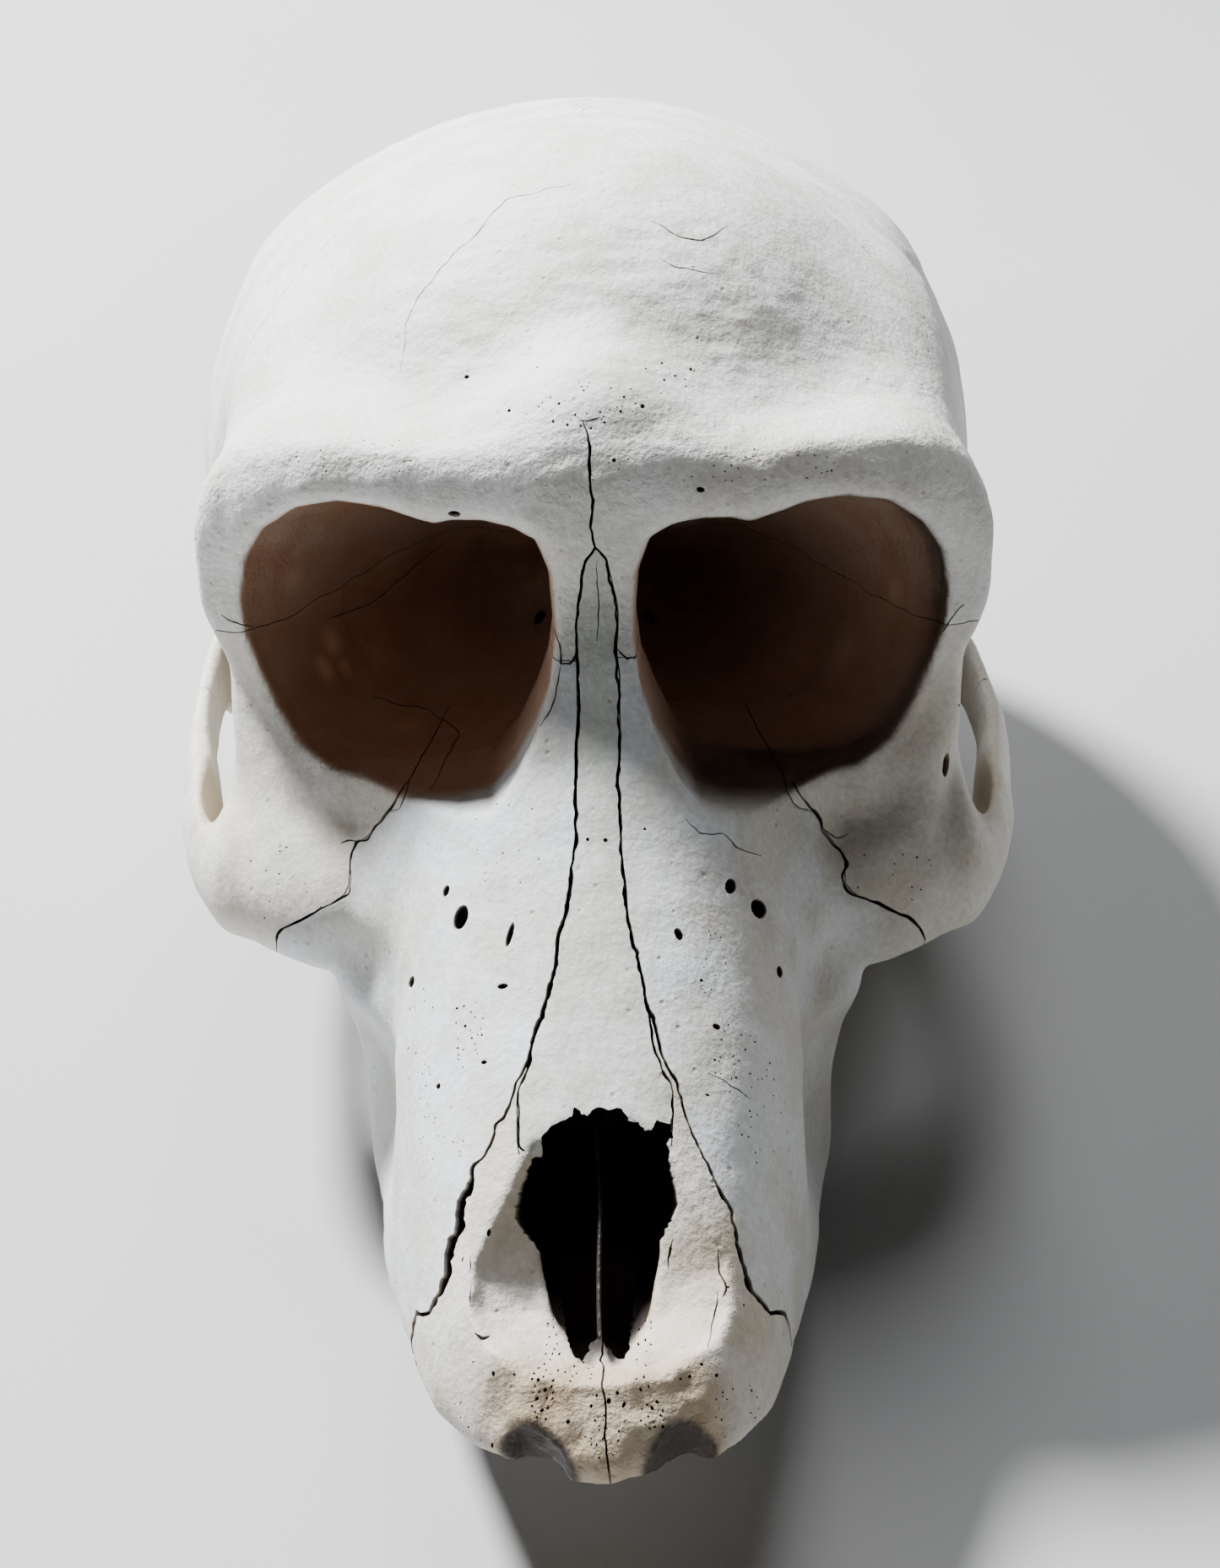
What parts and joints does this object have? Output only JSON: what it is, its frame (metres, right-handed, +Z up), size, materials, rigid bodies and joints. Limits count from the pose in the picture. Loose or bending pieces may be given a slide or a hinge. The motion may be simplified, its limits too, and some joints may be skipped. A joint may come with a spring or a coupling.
{
  "type": "baboon skull",
  "caption": "Cranium of a young baboon without its lower jaw: domed braincase, round eye sockets, arched cheeks and a long sloping muzzle with a heart-shaped nose opening.",
  "frame": {"origin": "on the floor, under the middle of the cranium's box", "axes": "+X to the skull's left, +Y towards the back of the head, +Z up; it rests on its cheek teeth and occipital condyles, muzzle towards -Y"},
  "size_m": [0.0744, 0.1556, 0.0785],
  "materials": {
    "vault": "dry bone, near white, satin to matt",
    "face": "dry bone, cool white, faintly stippled, satin",
    "base": "dry bone, tan and brown in the hollows, matt",
    "arch": "dry bone, cream, satin",
    "nasal": "dry bone, pale grey-green, smooth",
    "tip": "dry bone, tan and porous, matt"
  },
  "bodies": {
    "root": {"frontal": "vault", "parietal_l": "vault", "parietal_r": "vault", "occipital": "vault", "temporal_l": "arch", "temporal_r": "arch", "sphenoid": "base", "zygomatic_l": "arch", "zygomatic_r": "arch", "maxilla_l": "face", "maxilla_r": "face", "premaxilla_l": "tip", "premaxilla_r": "tip", "nasal": "nasal", "vomer": "nasal"}
  },
  "joints": []
}
